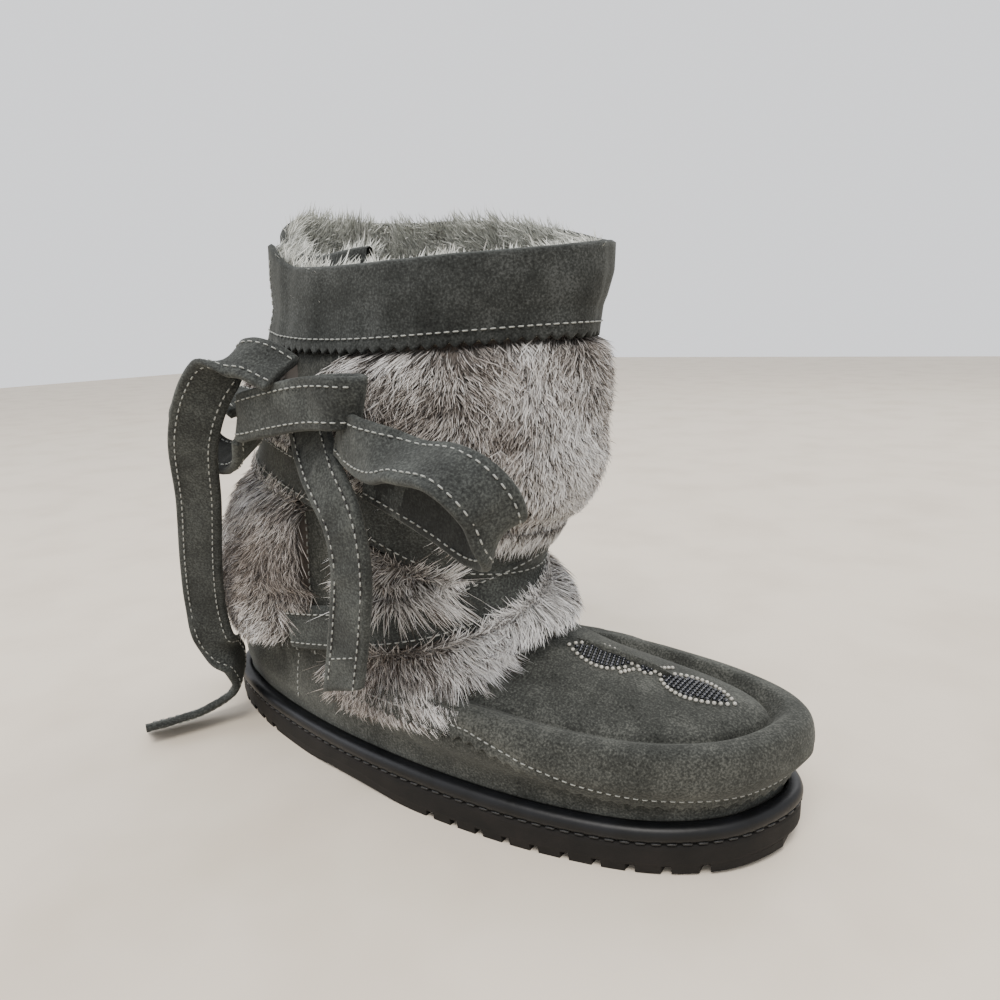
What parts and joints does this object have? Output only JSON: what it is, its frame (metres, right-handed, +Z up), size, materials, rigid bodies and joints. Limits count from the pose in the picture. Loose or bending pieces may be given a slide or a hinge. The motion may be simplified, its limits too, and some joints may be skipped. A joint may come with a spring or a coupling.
{
  "type": "mukluk boot",
  "caption": "Right ankle-high mukluk boot: suede moccasin foot on a rubber sole, fur shaft, turned suede collar and a flat tie wound round and tied in a bow on the outer side.",
  "frame": {"origin": "on the floor under the centre of the boot, its bow and loose tie ends left out", "axes": "+X towards the toe, +Y towards the inner side of the foot, +Z up"},
  "size_m": [0.2779, 0.1423, 0.2227],
  "materials": {
    "sole_rubber": "matt moulded black rubber",
    "welt_rubber": "smooth black rubber foxing with a soft shine",
    "insole_felt": "felt",
    "suede": "brushed suede",
    "rabbit_fur": "mottled grey, brown and white rabbit fur",
    "tie_suede": "brushed suede strap with edge stitching"
  },
  "bodies": {
    "root": {"outsole": "sole_rubber", "welt": "welt_rubber", "insole": "insole_felt", "upper": "suede", "shaft_fur": "rabbit_fur", "ankle_fur": "rabbit_fur", "placket": "suede", "collar": "suede", "wrap_straps": "tie_suede", "tie_knot": "tie_suede", "tie_tail_rear": "tie_suede", "tie_tail_front": "tie_suede", "tie_loop_front": "tie_suede", "tie_loop_rear": "tie_suede"}
  },
  "joints": []
}
